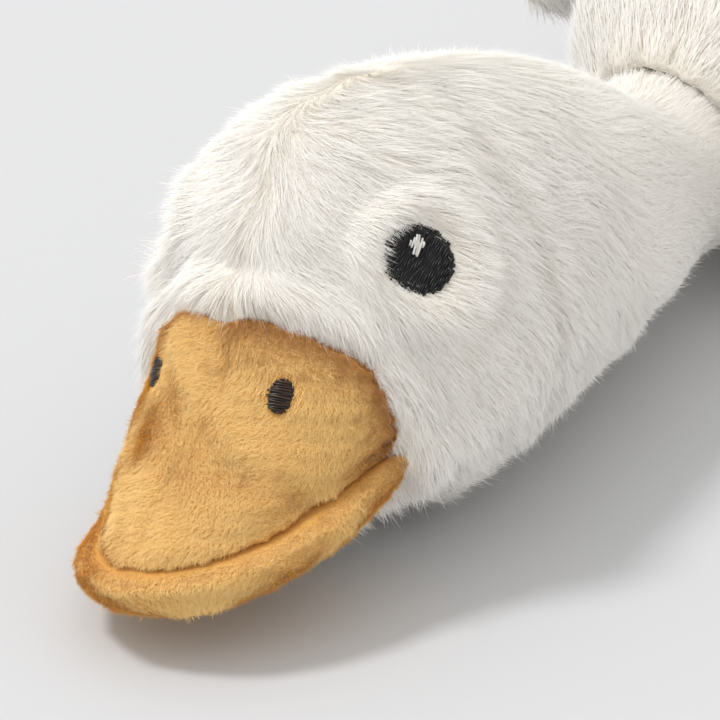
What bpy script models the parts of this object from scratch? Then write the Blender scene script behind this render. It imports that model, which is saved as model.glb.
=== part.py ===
"""A stuffed plush goose that lies on its belly with its neck stretched out along the floor.

Metres, +Z up. The beak points to -Y and the goose's own left side is +X. The floor is Z = 0. The head,
the beak and what is sewn to them are made in the head's own frame, whose origin is the middle of the head
and whose Y runs towards the tail. head_pose() then lays them on the floor, leaning a little to one side.
Distances along the goose count from the middle of the head, and at the end centre() moves the origin to
the middle of the whole goose.
"""

import math

import bmesh
import bpy
from mathutils import Matrix, Vector

MM = 0.001
SEAM_GAP = 0.3 * MM  # between two sewn pieces, measured square to the seam

# The head is measured from its middle, the point on its axis where it is widest.
HEAD_WIDTH = 82 * MM
HEAD_FRONT = 40 * MM  # from the middle forward to the forehead
HEAD_BACK = 108 * MM  # from the middle back to where only the neck is left
HEAD_CROWN = 56 * MM  # above the middle
HEAD_CHIN = 31 * MM  # below the middle
HEAD_REST = 28 * MM  # height of the middle over the floor, which presses the chin flat
HEAD_ROLL = math.radians(7)  # how far the head leans over to the goose's own right

NECK_WIDTH = 46 * MM
NECK_CROWN = 22 * MM
NECK_CHIN = 21 * MM
NECK_IN_BODY = 24 * MM

BODY_LENGTH = 206 * MM
BODY_WIDTH = 142 * MM
BODY_HEIGHT = 98 * MM
BODY_WIDEST = 0.42  # share of the body's height at which it is widest
BODY_TAPER = 0.20  # how much slimmer the rump is than the chest
BODY_BEHIND_HEAD = 8 * MM
BODY_TURN = math.radians(14)  # how far the rump lies off towards the goose's own left
FLAT_SPOT_DEPTH = 5 * MM  # how far the stuffing is pressed flat by the floor

BEAK_WIDTH = 52 * MM  # of the upper beak at the corners of the mouth
BEAK_LENGTH = 46 * MM  # of the upper beak, from the corners of the mouth to its tip
BEAK_SLOPE = math.radians(11)  # of the mouth, down towards the tip
BEAK_TURN = math.radians(4)  # how far the beak is bent towards the goose's own left
BEAK_RISE = 27 * MM  # of the upper beak's ridge over the mouth, at the corners
BEAK_TIP_RISE = 6 * MM  # the same at the tip
BEAK_SWELL = 5 * MM  # of the two stuffed lobes where the beak leaves the head
BEAK_SEAM_DEPTH = 0.8 * MM  # of the crease along the ridge
BEAK_IN_HEAD = 14 * MM
MOUTH_CORNER_FORWARD = 28 * MM
MOUTH_CORNER_DROP = 4 * MM
LIP_WIDTH = 4 * MM
LIP_THICKNESS = 11 * MM
LIP_ROLL = 2 * MM  # how far the lip stands up round the upper beak

EYE_WIDTH = 12.6 * MM
EYE_HEIGHT = 13.4 * MM
EYE_APART = 56.6 * MM
EYE_FORWARD = 17.5 * MM
EYE_TURN = math.radians(20)
EYE_THICKNESS = 1.4 * MM
EYE_DIMPLE = 2.6 * MM
EYE_DIMPLE_REACH = 11 * MM
GLINT_WIDTH = 2.6 * MM
GLINT_HEIGHT = 3.0 * MM
GLINT_UP = 2.4 * MM
GLINT_THICKNESS = 0.7 * MM

NOSTRIL_WIDTH = 3.8 * MM
NOSTRIL_HEIGHT = 6.4 * MM
NOSTRIL_APART = 31 * MM
NOSTRIL_FORWARD = 46 * MM
NOSTRIL_TURN = math.radians(12)
NOSTRIL_THICKNESS = 0.9 * MM

WING_LENGTH = 136 * MM
WING_WIDTH = 66 * MM
WING_THICKNESS = 17 * MM
WING_FRONT = 0.16  # share of the body's length from the chest to the wing's front edge
WING_HEIGHT = 49 * MM
WING_LEAN = math.radians(57)
WING_TOE_IN = math.radians(7)

TAIL_LENGTH = 46 * MM
TAIL_WIDTH = 54 * MM
TAIL_THICKNESS = 19 * MM
TAIL_TILT = math.radians(24)
TAIL_IN_BODY = 26 * MM
TAIL_HEIGHT = 46 * MM

FOOT_LENGTH = 62 * MM
FOOT_WIDTH = 56 * MM
FOOT_THICKNESS = 13 * MM
FOOT_APART = 104 * MM
FOOT_TOE_OUT = math.radians(16)
FOOT_WEB_DEPTH = 0.13
LEG_DIAMETER = 17 * MM
LEG_IN_BODY = 40 * MM

RING_POINTS = 36
PILLOW_RINGS = 8
PATCH_POINTS = 24
PATCH_RINGS = 4

BODY_FRONT = HEAD_BACK + BODY_BEHIND_HEAD
BODY_BACK = BODY_FRONT + BODY_LENGTH
BODY_MIDDLE = (BODY_FRONT + BODY_BACK) / 2
TAIL_END = BODY_BACK + (TAIL_LENGTH - TAIL_IN_BODY) * math.cos(TAIL_TILT)

COLOURS = {
    "plush_white": ((0.86, 0.84, 0.79), 0.95),
    "plush_mustard": ((0.72, 0.39, 0.13), 0.95),
    "thread_black": ((0.012, 0.012, 0.014), 0.45),
    "thread_white": ((0.85, 0.84, 0.80), 0.5),
    "thread_brown": ((0.05, 0.025, 0.015), 0.5),
}


def clear_scene():
    for old in list(bpy.data.objects):
        bpy.data.objects.remove(old, do_unlink=True)


def new_collection(name):
    made = bpy.data.collections.new(name)
    bpy.context.scene.collection.children.link(made)
    return made


def material(name):
    made = bpy.data.materials.get(name)
    if made:
        return made
    colour, roughness = COLOURS[name]
    made = bpy.data.materials.new(name)
    made.use_nodes = True
    shader = made.node_tree.nodes["Principled BSDF"]
    shader.inputs["Base Color"].default_value = (*colour, 1)
    shader.inputs["Roughness"].default_value = roughness
    shader.inputs["Metallic"].default_value = 0
    made.diffuse_color = (*colour, 1)
    return made


def add_object(name, bm, collection, cloth=None):
    bmesh.ops.recalc_face_normals(bm, faces=bm.faces)
    mesh = bpy.data.meshes.new(name)
    bm.to_mesh(mesh)
    bm.free()
    mesh.shade_smooth()
    made = bpy.data.objects.new(name, mesh)
    collection.objects.link(made)
    if cloth:
        mesh.materials.append(material(cloth))
    return made


def power(value, exponent):
    """value to a power, keeping its sign."""
    return math.copysign(abs(value) ** exponent, value)


def soft_max(a, b, sharpness=4):
    return (a**sharpness + b**sharpness) ** (1 / sharpness)


def ring_across(y, half_width, top, bottom, roundness, middle=0.0):
    """A ring square to the goose's length, of two half ovals that meet at the height middle."""
    ring = []
    for i in range(RING_POINTS):
        turn = 2 * math.pi * i / RING_POINTS
        across, up = math.cos(turn), math.sin(turn)
        reach = top if up > 0 else bottom
        height = middle + reach * power(up, 2 / roundness)
        ring.append(Vector((half_width * power(across, 2 / roundness), y, height)))
    return ring


def press_flat(obj):
    """The floor presses flat whatever would hang below it."""
    for vertex in obj.data.vertices:
        vertex.co.z = max(vertex.co.z, 0.0)


def lofted(name, rings, collection, cloth=None):
    """A closed form over rings of equal length, each end drawn in to a point at its middle."""
    bm = bmesh.new()
    loops = [[bm.verts.new(place) for place in ring] for ring in rings]
    for here, there in zip(loops, loops[1:]):
        for i in range(RING_POINTS):
            j = (i + 1) % RING_POINTS
            bm.faces.new((here[i], here[j], there[j], there[i]))
    for loop in (loops[0], loops[-1]):
        pole = bm.verts.new(sum((v.co for v in loop), Vector()) / RING_POINTS)
        for i in range(RING_POINTS):
            bm.faces.new((loop[i], loop[(i + 1) % RING_POINTS], pole))
    return add_object(name, bm, collection, cloth)


def pillow(name, outline, top, bottom, place, collection, cloth=None):
    """A stuffed pad. outline(turn) is its edge in the plane, and top and bottom give the height of its
    two faces from the share of the way to the edge and the turn. place is its matrix."""
    bm = bmesh.new()
    edge = [outline(2 * math.pi * i / RING_POINTS) for i in range(RING_POINTS)]
    shares = [math.sin(math.pi / 2 * k / PILLOW_RINGS) for k in range(1, PILLOW_RINGS)]
    turns = [2 * math.pi * i / RING_POINTS for i in range(RING_POINTS)]
    rim = [bm.verts.new((x, y, (top(1, t) + bottom(1, t)) / 2)) for (x, y), t in zip(edge, turns)]
    for face in (top, bottom):
        pole = bm.verts.new((0, 0, face(0, 0)))
        loops = []
        for share in shares:
            loops.append(
                [bm.verts.new((x * share, y * share, face(share, t))) for (x, y), t in zip(edge, turns)]
            )
        loops.append(rim)
        for i in range(RING_POINTS):
            j = (i + 1) % RING_POINTS
            bm.faces.new((loops[0][i], loops[0][j], pole))
            for inner, outer in zip(loops, loops[1:]):
                bm.faces.new((inner[i], inner[j], outer[j], outer[i]))
    bmesh.ops.transform(bm, matrix=place, verts=bm.verts)
    return add_object(name, bm, collection, cloth)


def evaluated_mesh(obj):
    graph = bpy.context.evaluated_depsgraph_get()
    return bpy.data.meshes.new_from_object(obj.evaluated_get(graph), depsgraph=graph)


def grown_copy(obj, by, cutters):
    """The same form with its surface moved out, to cut a neighbour clear of it."""
    mesh = evaluated_mesh(obj)
    normals = [v.normal.copy() for v in mesh.vertices]
    for vertex, normal in zip(mesh.vertices, normals):
        vertex.co += normal * by
    made = bpy.data.objects.new(obj.name + "_cutter", mesh)
    made.hide_render = True
    made.display_type = "WIRE"
    cutters.objects.link(made)
    return made


def cut(obj, *cutter_objects):
    for cutter in cutter_objects:
        modifier = obj.modifiers.new("seam_with_" + cutter.name, "BOOLEAN")
        modifier.operation = "DIFFERENCE"
        modifier.object = cutter


def ball_share(u, fullness=2.0):
    """The half width of a ball at u from its middle, both as shares of its half length."""
    return max(0.0, 1 - abs(u) ** fullness) ** (1 / fullness)


def end_spaced(count):
    """Shares from -1 to 1 that crowd towards both ends, where a form closes."""
    return [-math.cos(math.pi * i / count) for i in range(count + 1)]


def dimple(obj, centre, inward, reach, depth):
    """Presses the surface in round centre."""
    for vertex in obj.data.vertices:
        away = (vertex.co - centre).length / reach
        vertex.co += inward * depth * math.exp(-(away**2))
    obj.data.update()


def looked_at(obj, start, towards):
    """Where a line from start first meets obj's surface, and the surface's normal there."""
    found, where, normal, _ = obj.ray_cast(start, towards.normalized())
    if not found:
        raise RuntimeError(f"{obj.name} isn't met from {start}")
    return where, normal


def head_pose():
    """Lays the head on the floor."""
    return Matrix.Translation((0, 0, HEAD_REST)) @ Matrix.Rotation(-HEAD_ROLL, 4, "Y")


def body_pose():
    """Turns the body about the point where the neck meets the chest."""
    joint = Matrix.Translation((0, BODY_FRONT, 0))
    return joint @ Matrix.Rotation(-BODY_TURN, 4, "Z") @ joint.inverted()


def eye_place(head, side):
    """Where one eye's middle lies on the head. side is 1 for the goose's left and -1 for its right."""
    above = Vector((side * EYE_APART / 2, -EYE_FORWARD, 2 * HEAD_CROWN))
    return looked_at(head, above, Vector((0, 0, -1)))


def make_head(plush):
    """Head and neck in one cover: an egg, steep over the beak, that runs out into the neck behind."""
    neck_end = HEAD_BACK + BODY_BEHIND_HEAD + NECK_IN_BODY
    stations = [HEAD_FRONT * u for u in end_spaced(20)[1:11]]
    back_steps = 15
    stations += [neck_end * i / back_steps for i in range(1, back_steps + 1)]
    rings = []
    for y in stations:
        egg = ball_share(y / HEAD_FRONT, 2.15) if y < 0 else ball_share(y / HEAD_BACK, 1.85)
        neck = min(1.0, max(0.0, 2 * y / HEAD_BACK))
        half_width = soft_max(HEAD_WIDTH / 2 * egg, NECK_WIDTH / 2 * neck)
        top = soft_max(HEAD_CROWN * egg, NECK_CROWN * neck)
        bottom = soft_max(HEAD_CHIN * egg, NECK_CHIN * neck)
        rings.append(ring_across(y, half_width, top, bottom, 2.08))
    head = lofted("head", rings, plush, "plush_white")
    bpy.context.view_layer.update()
    places = [eye_place(head, side) for side in (1, -1)]
    for where, normal in places:
        dimple(head, where, -normal, EYE_DIMPLE_REACH, EYE_DIMPLE)
    return head


def make_body(plush):
    """Chest and belly: an egg pressed flat underneath and slimmer towards the rump."""
    rings = []
    middle = BODY_WIDEST * BODY_HEIGHT
    for u in end_spaced(24)[1:-1]:
        egg = ball_share(u, 2.1)
        half_width = BODY_WIDTH / 2 * egg * (1 - BODY_TAPER * u) / (1 + BODY_TAPER**2)
        top = (BODY_HEIGHT - middle) * egg**0.8
        bottom = (middle + FLAT_SPOT_DEPTH) * egg**0.7
        y = BODY_MIDDLE + BODY_LENGTH / 2 * u
        rings.append(ring_across(y, half_width, top, bottom, 2.1, middle))
    body = lofted("body", rings, plush, "plush_white")
    press_flat(body)
    return body


def beak_frame():
    """The plane of the mouth in the head's frame: local -Y runs towards the tip of the beak, and the
    corners of the mouth are at local Y = 0."""
    corner = Vector((0, -MOUTH_CORNER_FORWARD, -MOUTH_CORNER_DROP))
    turn = Matrix.Rotation(BEAK_TURN, 4, "Z") @ Matrix.Rotation(BEAK_SLOPE, 4, "X")
    return Matrix.Translation(corner) @ turn


def bill_share(s, length):
    """The bill's half width, as a share of that at the mouth's corners, at s ahead of them."""
    return max(0.0, 1 - max(0.0, s / length) ** 2.3) ** 0.556


def bill_stations(length):
    """Distances ahead of the mouth's corners, from inside the head to the tip, closer at the tip."""
    return [-BEAK_IN_HEAD, -BEAK_IN_HEAD / 2] + [length * math.sin(math.pi / 2 * i / 14) for i in range(14)]


def make_lower_beak(short_plush):
    """The lower half: a flat pad whose edge shows as a lip all round the upper half."""
    length = BEAK_LENGTH + LIP_WIDTH
    half = BEAK_WIDTH / 2
    rings = []
    for s in bill_stations(length):
        share = bill_share(s, length)
        thinner = share**0.35
        half_width = (half + LIP_WIDTH * min(1.0, max(0.6, s / LIP_WIDTH / 3))) * share
        rings.append(ring_across(-s, half_width, LIP_ROLL * thinner, LIP_THICKNESS * thinner, 3.0))
    lower = lofted("beak_lower", rings, short_plush, "plush_mustard")
    lower.data.transform(beak_frame())
    return lower


def make_upper_beak(short_plush):
    """The upper half: high where it leaves the head, with a ridge that runs down to a flat tip and a
    crease along the ridge."""
    slope = (BEAK_RISE - BEAK_TIP_RISE) / BEAK_LENGTH
    lobe = 0.2 * BEAK_LENGTH
    rings = []
    for s in bill_stations(BEAK_LENGTH):
        share = bill_share(s, BEAK_LENGTH)
        swell = BEAK_SWELL * math.exp(-(((s - lobe) / lobe) ** 2))
        rise = (BEAK_RISE - slope * s) * share**0.25 + swell
        ring = ring_across(-s, BEAK_WIDTH / 2 * share, rise, LIP_ROLL, 2.4)
        ring[RING_POINTS // 4].z -= BEAK_SEAM_DEPTH * share
        rings.append(ring)
    upper = lofted("beak_upper", rings, short_plush, "plush_mustard")
    upper.data.transform(beak_frame())
    return upper


def thread_patch(name, target, centre, normal, size, roll, thickness, collection, cloth):
    """A satin-stitched patch: an oval laid on target's surface, swelling towards its middle."""
    across = Vector((0, 0, 1)).cross(normal).normalized()
    up = normal.cross(across).normalized()
    spin = Matrix.Rotation(roll, 3, normal)
    across, up = spin @ across, spin @ up
    start = centre + normal * 4 * thickness
    bm = bmesh.new()

    def on_surface(share, turn, rise):
        flat = across * (size[0] / 2 * share * math.cos(turn)) + up * (size[1] / 2 * share * math.sin(turn))
        where, facing = looked_at(target, start + flat, -normal)
        return where + facing * SEAM_GAP + normal * rise

    rim = None
    for swell in (0, 1):
        loops = []
        for k in range(1, PATCH_RINGS + 1):
            share = math.sin(math.pi / 2 * k / PATCH_RINGS)
            rise = swell * thickness * (0.55 + 0.45 * math.sqrt(1 - share**2))
            turns = [2 * math.pi * i / PATCH_POINTS for i in range(PATCH_POINTS)]
            loops.append([bm.verts.new(on_surface(share, turn, rise)) for turn in turns])
        pole = bm.verts.new(on_surface(0, 0, swell * thickness))
        for i in range(PATCH_POINTS):
            j = (i + 1) % PATCH_POINTS
            bm.faces.new((loops[0][i], loops[0][j], pole))
            for inner, outer in zip(loops, loops[1:]):
                bm.faces.new((inner[i], inner[j], outer[j], outer[i]))
        if rim:
            for i in range(PATCH_POINTS):
                j = (i + 1) % PATCH_POINTS
                bm.faces.new((rim[i], rim[j], loops[-1][j], loops[-1][i]))
        rim = loops[-1]
    return add_object(name, bm, collection, cloth)


def make_eye(head, side, word, threads):
    """One embroidered eye in its dimple, with a few white stitches for the glint."""
    centre, normal = eye_place(head, side)
    size = (EYE_WIDTH, EYE_HEIGHT)
    turn = side * EYE_TURN
    eye = thread_patch(
        "eye_" + word, head, centre, normal, size, turn, EYE_THICKNESS, threads, "thread_black"
    )
    bpy.context.view_layer.update()
    upward = (Vector((0, 0, 1)) - normal * normal.z).normalized()
    above = centre + upward * GLINT_UP + normal * 4 * EYE_THICKNESS
    where, _ = looked_at(eye, above, -normal)
    size = (GLINT_WIDTH, GLINT_HEIGHT)
    glint = thread_patch(
        "eye_glint_" + word, eye, where, normal, size, 0, GLINT_THICKNESS, threads, "thread_white"
    )
    return eye, glint


def make_nostril(beak, side, word, threads):
    above = Vector((side * NOSTRIL_APART / 2, -NOSTRIL_FORWARD, HEAD_CROWN))
    where, normal = looked_at(beak, above, Vector((0, 0, -1)))
    size = (NOSTRIL_WIDTH, NOSTRIL_HEIGHT)
    turn = -side * NOSTRIL_TURN
    return thread_patch(
        "nostril_" + word, beak, where, normal, size, turn, NOSTRIL_THICKNESS, threads, "thread_brown"
    )


def make_wing(side, word, plush):
    """A flat padded wing that lies along the flank, round in front and narrow at its tip."""

    def outline(turn):
        across, along = math.sin(turn), -math.cos(turn)
        narrowing = 1 - 0.38 * max(0.0, along) ** 1.5
        return WING_WIDTH / 2 * across * narrowing, WING_LENGTH / 2 * along

    def face(sign):
        return lambda share, turn: sign * WING_THICKNESS / 2 * (1 - share**2.6) ** 0.5

    front = BODY_FRONT + BODY_LENGTH * WING_FRONT
    place = Vector(
        (side * (BODY_WIDTH / 2 - 0.1 * WING_THICKNESS), front + WING_LENGTH / 2, WING_HEIGHT)
    )
    matrix = Matrix.Translation(place)
    matrix = matrix @ Matrix.Rotation(side * WING_TOE_IN, 4, "Z")
    matrix = matrix @ Matrix.Rotation(side * WING_LEAN, 4, "Y")
    return pillow("wing_" + word, outline, face(1), face(-1), matrix, plush, "plush_white")


def make_tail(plush):
    """A short padded wedge that points up and back."""

    def outline(turn):
        across, along = math.sin(turn), -math.cos(turn)
        narrowing = 1 - 0.45 * max(0.0, along)
        half_length = (TAIL_LENGTH + TAIL_IN_BODY) / 2
        return TAIL_WIDTH / 2 * power(across, 0.8) * narrowing, half_length * along

    def face(sign):
        return lambda share, turn: sign * TAIL_THICKNESS / 2 * (1 - share**2.2) ** 0.5

    lean = Matrix.Rotation(TAIL_TILT, 4, "X")
    half_length = (TAIL_LENGTH + TAIL_IN_BODY) / 2
    end = Vector((0, TAIL_END, TAIL_HEIGHT + TAIL_LENGTH * math.sin(TAIL_TILT)))
    place = Matrix.Translation(end) @ lean @ Matrix.Translation((0, -half_length, 0))
    return pillow("tail", outline, face(1), face(-1), place, plush, "plush_white")


def make_foot(side, word, short_plush):
    """A webbed foot with three blunt toes, and the short leg that it hangs from."""
    heel = 0.42 * FOOT_LENGTH

    def outline(turn):
        across, along = math.sin(turn), math.cos(turn)
        toes = FOOT_WEB_DEPTH * (0.5 + 0.5 * math.cos(6 * turn)) * max(0.0, along) ** 0.5
        reach = 1 - FOOT_WEB_DEPTH * max(0.0, along) ** 0.5 + toes
        spread = 0.42 + 0.58 * min(1.0, max(0.0, 0.55 + 0.75 * along))
        ahead = FOOT_LENGTH - heel if along > 0 else heel
        return FOOT_WIDTH / 2 * across * spread * reach, ahead * along * reach

    def top(share, turn):
        return FOOT_THICKNESS / 2 + FOOT_THICKNESS / 2 * (1 - share**2.4) ** 0.5

    def bottom(share, turn):
        return FOOT_THICKNESS / 2 - FOOT_THICKNESS / 2 * (1 - share**6) ** 0.5

    reach_back = BODY_BACK - 0.10 * BODY_LENGTH + heel
    place = Vector((side * FOOT_APART / 2, reach_back, 0))
    matrix = Matrix.Translation(place) @ Matrix.Rotation(-side * FOOT_TOE_OUT, 4, "Z")
    foot = pillow("foot_" + word, outline, top, bottom, matrix, short_plush, "plush_mustard")
    return foot, matrix, heel


def join_leg(foot, matrix, heel, cutters):
    """Adds the leg to its foot as a capsule that runs forward under the body."""
    radius = LEG_DIAMETER / 2
    ankle = Vector((0, -heel * 0.35, radius + SEAM_GAP))
    hip = ankle + Vector((0, -LEG_IN_BODY, radius * 0.6))
    direction = hip - ankle
    bm = bmesh.new()
    turn = direction.to_track_quat("Z", "Y").to_matrix().to_4x4()
    middle = Matrix.Translation((ankle + hip) / 2) @ turn
    bmesh.ops.create_cone(
        bm,
        cap_ends=True,
        segments=20,
        radius1=radius,
        radius2=radius,
        depth=direction.length,
        matrix=matrix @ middle,
    )
    leg = add_object(foot.name + "_leg", bm, cutters)
    leg.hide_render = True
    leg.display_type = "WIRE"
    union = foot.modifiers.new("leg", "BOOLEAN")
    union.operation = "UNION"
    union.object = leg
    return leg


def centre(*collections):
    """Moves everything, so that the origin is the middle of the goose's outline on the floor."""
    made = [obj for collection in collections for obj in collection.objects]
    places = [v.co for obj in collections[0].objects for v in obj.data.vertices]
    low = Vector([min(place[i] for place in places) for i in range(3)])
    high = Vector([max(place[i] for place in places) for i in range(3)])
    middle = (low + high) / 2
    for obj in made:
        obj.data.transform(Matrix.Translation((-middle.x, -middle.y, 0)))


def main():
    clear_scene()
    goose = new_collection("plush_goose")
    cutters = new_collection("cutters")

    head = make_head(goose)
    lower = make_lower_beak(goose)
    upper = make_upper_beak(goose)
    bpy.context.view_layer.update()
    posed = [head, lower, upper]
    for side, word in ((1, "left"), (-1, "right")):
        posed += make_eye(head, side, word, goose)
        posed.append(make_nostril(upper, side, word, goose))
    for obj in posed:
        obj.data.transform(head_pose())
    press_flat(head)
    body = make_body(goose)
    body.data.transform(body_pose())
    bpy.context.view_layer.update()

    head_cutter = grown_copy(head, SEAM_GAP, cutters)
    cut(body, head_cutter)
    lower_cutter = grown_copy(lower, SEAM_GAP, cutters)
    cut(lower, head_cutter)
    cut(upper, head_cutter, lower_cutter)
    body_cutter = grown_copy(body, SEAM_GAP, cutters)

    tail = make_tail(goose)
    on_body = [tail]
    cut(tail, body_cutter)
    for side, word in ((1, "left"), (-1, "right")):
        wing = make_wing(side, word, goose)
        cut(wing, body_cutter)
        foot, matrix, heel = make_foot(side, word, goose)
        leg = join_leg(foot, matrix, heel, cutters)
        cut(foot, body_cutter)
        on_body += [wing, foot, leg]
    for obj in on_body:
        obj.data.transform(body_pose())
    centre(goose, cutters)


main()
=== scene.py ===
"""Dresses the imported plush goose: its cloth, its pile, its embroidery, and the floor, light and camera.

It is laid out as an add-on. Each operator makes one group of pieces out of the CAD nodes, and main() calls
them in order. Lengths are metres, and the beak points to -Y.
"""

import math
from functools import partial

import bmesh
import bpy
import numpy as np
from mathutils import Matrix, Vector
from mathutils.bvhtree import BVHTree


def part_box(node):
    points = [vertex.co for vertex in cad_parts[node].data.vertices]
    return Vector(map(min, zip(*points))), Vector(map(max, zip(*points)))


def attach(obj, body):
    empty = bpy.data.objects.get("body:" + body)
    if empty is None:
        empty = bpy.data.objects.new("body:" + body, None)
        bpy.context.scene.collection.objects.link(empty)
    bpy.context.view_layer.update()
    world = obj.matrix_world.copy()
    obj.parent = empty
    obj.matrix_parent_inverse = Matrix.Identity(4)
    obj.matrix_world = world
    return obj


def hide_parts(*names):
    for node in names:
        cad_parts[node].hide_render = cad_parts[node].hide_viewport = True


bl_info = {
    "name": "Plush goose",
    "version": (1, 0, 0),
    "blender": (4, 5, 0),
    "location": "View3D > Sidebar > Goose",
    "description": "Pile, embroidery and stage for a plush goose",
    "category": "Object",
}

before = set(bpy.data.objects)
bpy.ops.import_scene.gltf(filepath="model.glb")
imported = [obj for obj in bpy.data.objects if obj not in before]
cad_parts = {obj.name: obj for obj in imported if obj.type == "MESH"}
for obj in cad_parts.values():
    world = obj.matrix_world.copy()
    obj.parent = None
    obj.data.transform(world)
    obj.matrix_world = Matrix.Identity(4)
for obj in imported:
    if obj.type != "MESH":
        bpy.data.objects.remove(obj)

MM = 0.001
HEAD_MIDDLE = np.array((-28.9, -146.4, 28.0)) * MM
HEAD_LEAN = math.radians(-7)
BODY_JOINT = np.array((-28.9, -30.4, 0.0)) * MM
BODY_TURN = math.radians(-14)
HEAD_VOXEL = 2.3 * MM
BODY_VOXEL = 3.4 * MM
LIMB_VOXEL = 2.0 * MM
FOOT_VOXEL = 1.5 * MM
BEAK_VOXEL = 1.1 * MM
SOFT_ROUNDS = 6
BEAK_SOFT_ROUNDS = 3
FLOOR_CLEARANCE = 0.15 * MM
SEAM_REACH = 0.5 * MM  # cloth nearer than this to another piece is sewn in, and bears no pile
SEAM_FADE = 0.5 * MM
INSIDE_REACH = 6 * MM  # how deep inside its neighbour a cloth still counts as hidden
HALVES_OVERLAP = 2 * MM  # over which one piece of a pile thins out as its neighbour thickens
EYE_EDGE = 6 * MM  # from the middle of an eye to the pile round it
RAY_HEIGHT = 12 * MM  # above a patch, where the rays that place its stitches start
RAY_SPREAD = 1.4  # how much wider than the patch the ground is that these rays meet
GROUND_SHADE = 0.05  # of the ground under the stitches, as a strand's shade and place along it
GROUND_ALONG = 0.1
BODY_PALE = 0.92  # shade of the body's pile, where the palest is 1
CLOTH_GRAIN = 1.2 * MM
CLOTH_BUMP = 0.4 * MM
FLOOR_RADIUS = 4.0
FLOOR_CORNERS = 96
FLOOR_COLOUR = (0.622, 0.63, 0.648, 1)
BACKDROP_COLOUR = (0.82, 0.83, 0.845, 1)
SKY_COLOUR = (1.0, 0.985, 0.96, 1)
TINY = 1e-9
BAKE_UV = "OFBake"

CAMERA_AZIMUTH = math.radians(34.3)
CAMERA_ELEVATION = math.radians(25.4)
CAMERA_DISTANCE = 550 * MM
CAMERA_LENS = 143.5
CAMERA_SENSOR = 36.0
PHOTO_SIZE = 720

# What the photograph shows of seams and folds, in its pixels, from the top left corner
HEAD_SEAM = (
    (221, 318), (235, 263), (244, 231), (255, 205), (260, 173), (258, 144), (266, 122), (298, 94),
    (334, 74),
)
BEAK_SEAM = (
    (222, 322), (221, 345), (212, 390), (190, 435), (170, 470), (156, 507), (147, 525), (137, 550),
    (130, 566),
)
BEAK_FOLD = ((216, 462), (255, 475), (285, 490), (315, 510), (345, 528))

# Where the photograph shows an outline off the CAD's. Each row is a place on the CAD's outline, and how far
# the cloth there goes to the right, down and towards the camera, all in pixels.
BEAK_PULLS = (
    ((131, 370), (19, 2, 0)), ((123, 394), (20, 0, 0)), ((114, 418), (18, 0, 0)), ((107, 442), (17, 0, 0)),
    ((100, 468), (9, 0, 0)), ((90, 490), (12, 3, 0)), ((82, 506), (8, 12, 0)), ((79, 524), (2, 14, 0)),
    ((81, 544), (-9, 12, 0)), ((86, 564), (-14, 8, 0)), ((97, 586), (-17, 5, 0)), ((108, 600), (-13, 4, 0)),
    ((128, 612), (-6, 2, 0)), ((172, 621), (0, 0, 0)), ((220, 612), (0, 0, 0)), ((284, 586), (0, 0, 0)),
    ((340, 554), (0, -2, 0)), ((380, 519), (2, -10, 0)), ((396, 484), (6, -12, 0)),
    ((390, 468), (16, -15, 4)), ((371, 442), (27, -6, 8)), ((363, 418), (31, -2, 10)),
    ((352, 394), (32, -2, 10)), ((337, 371), (31, -2, 10)), ((320, 354), (22, -4, 8)),
    ((298, 338), (6, -4, 5)), ((250, 324), (0, -5, 2)), ((190, 322), (0, -3, 0)),
    ((166, 372), (8, 0, 5)), ((158, 400), (11, 0, 9)), ((150, 430), (10, 0, 9)), ((142, 460), (7, 0, 6)),
    ((190, 400), (4, 0, 3)), ((182, 430), (4, 0, 3)),
)
HEAD_PULLS = (
    ((398, 522), (0, -22, 0)), ((440, 512), (-2, -16, 0)), ((490, 494), (-4, -14, 0)),
    ((520, 472), (-7, -13, 0)), ((546, 448), (-9, -12, 0)), ((576, 415), (-10, -12, 0)),
    ((606, 383), (-11, -12, 0)), ((649, 336), (-9, -10, 0)),
    ((168, 180), (6, 0, 0)), ((152, 215), (12, 0, 0)), ((143, 250), (15, 0, 0)), ((144, 280), (11, 0, 0)),
)
LIP_PULLS = (
    ((126, 392), (9, 0, 0)), ((112, 430), (10, 0, 0)), ((98, 468), (9, 0, 0)), ((87, 494), (9, 0, 0)),
)
PULL_REACH = 28.0  # pixels
PULL_HOLD = 0.3  # how firmly what lies far from any pull stays
PULL_GAIN = 1.12  # makes up for what the hold takes

# The lowest and highest draw for each strand, as shares of its pile's own values
STRAND_REACH = (0.5, 1.1)
STRAND_STEEPNESS = (0.85, 1.1)
STRAND_WIDTH = (0.7, 1.3)
STRAND_SHADE = (0.3, -0.1)  # how far the draw of a shade reaches, and where it starts
STRAY_RARITY = 14.0  # the higher it is, the fewer strands stand up

# The lowest and highest draw for each stitch
STITCH_START = (-0.42, 0.42)  # in stitches
STITCH_SWAY = (-0.09, 0.09)
STITCH_WIDTH = (0.8, 1.15)
STITCH_SHADE = (0.15, 0.95)
STITCH_OVERLAP = 2.1  # a little over the 2 half rows that a row is long
STITCH_ARCH = (-4.4, 0.75)  # how much lower its ends lie than its middle, and how high that stands
STITCH_SIDES = 6

# Kinds of strand: how far the tip lies to one side, in widths of a strand, and the number of cross lines
STRAND_KINDS = (
    (-5, 3), (-1.5, 3), (1.5, 3), (5, 3),
    (-7, 2), (-4, 2), (-1.5, 2), (1.5, 2), (4, 2), (7, 2),
)


# Arrays and attributes


def arrays_of(mesh):
    places = np.empty(len(mesh.vertices) * 3)
    mesh.vertices.foreach_get("co", places)
    facing = np.empty(len(mesh.vertices) * 3)
    mesh.vertex_normals.foreach_get("vector", facing)
    return places.reshape(-1, 3), facing.reshape(-1, 3)


def set_places(mesh, places):
    mesh.vertices.foreach_set("co", places.ravel())
    mesh.update()


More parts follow.
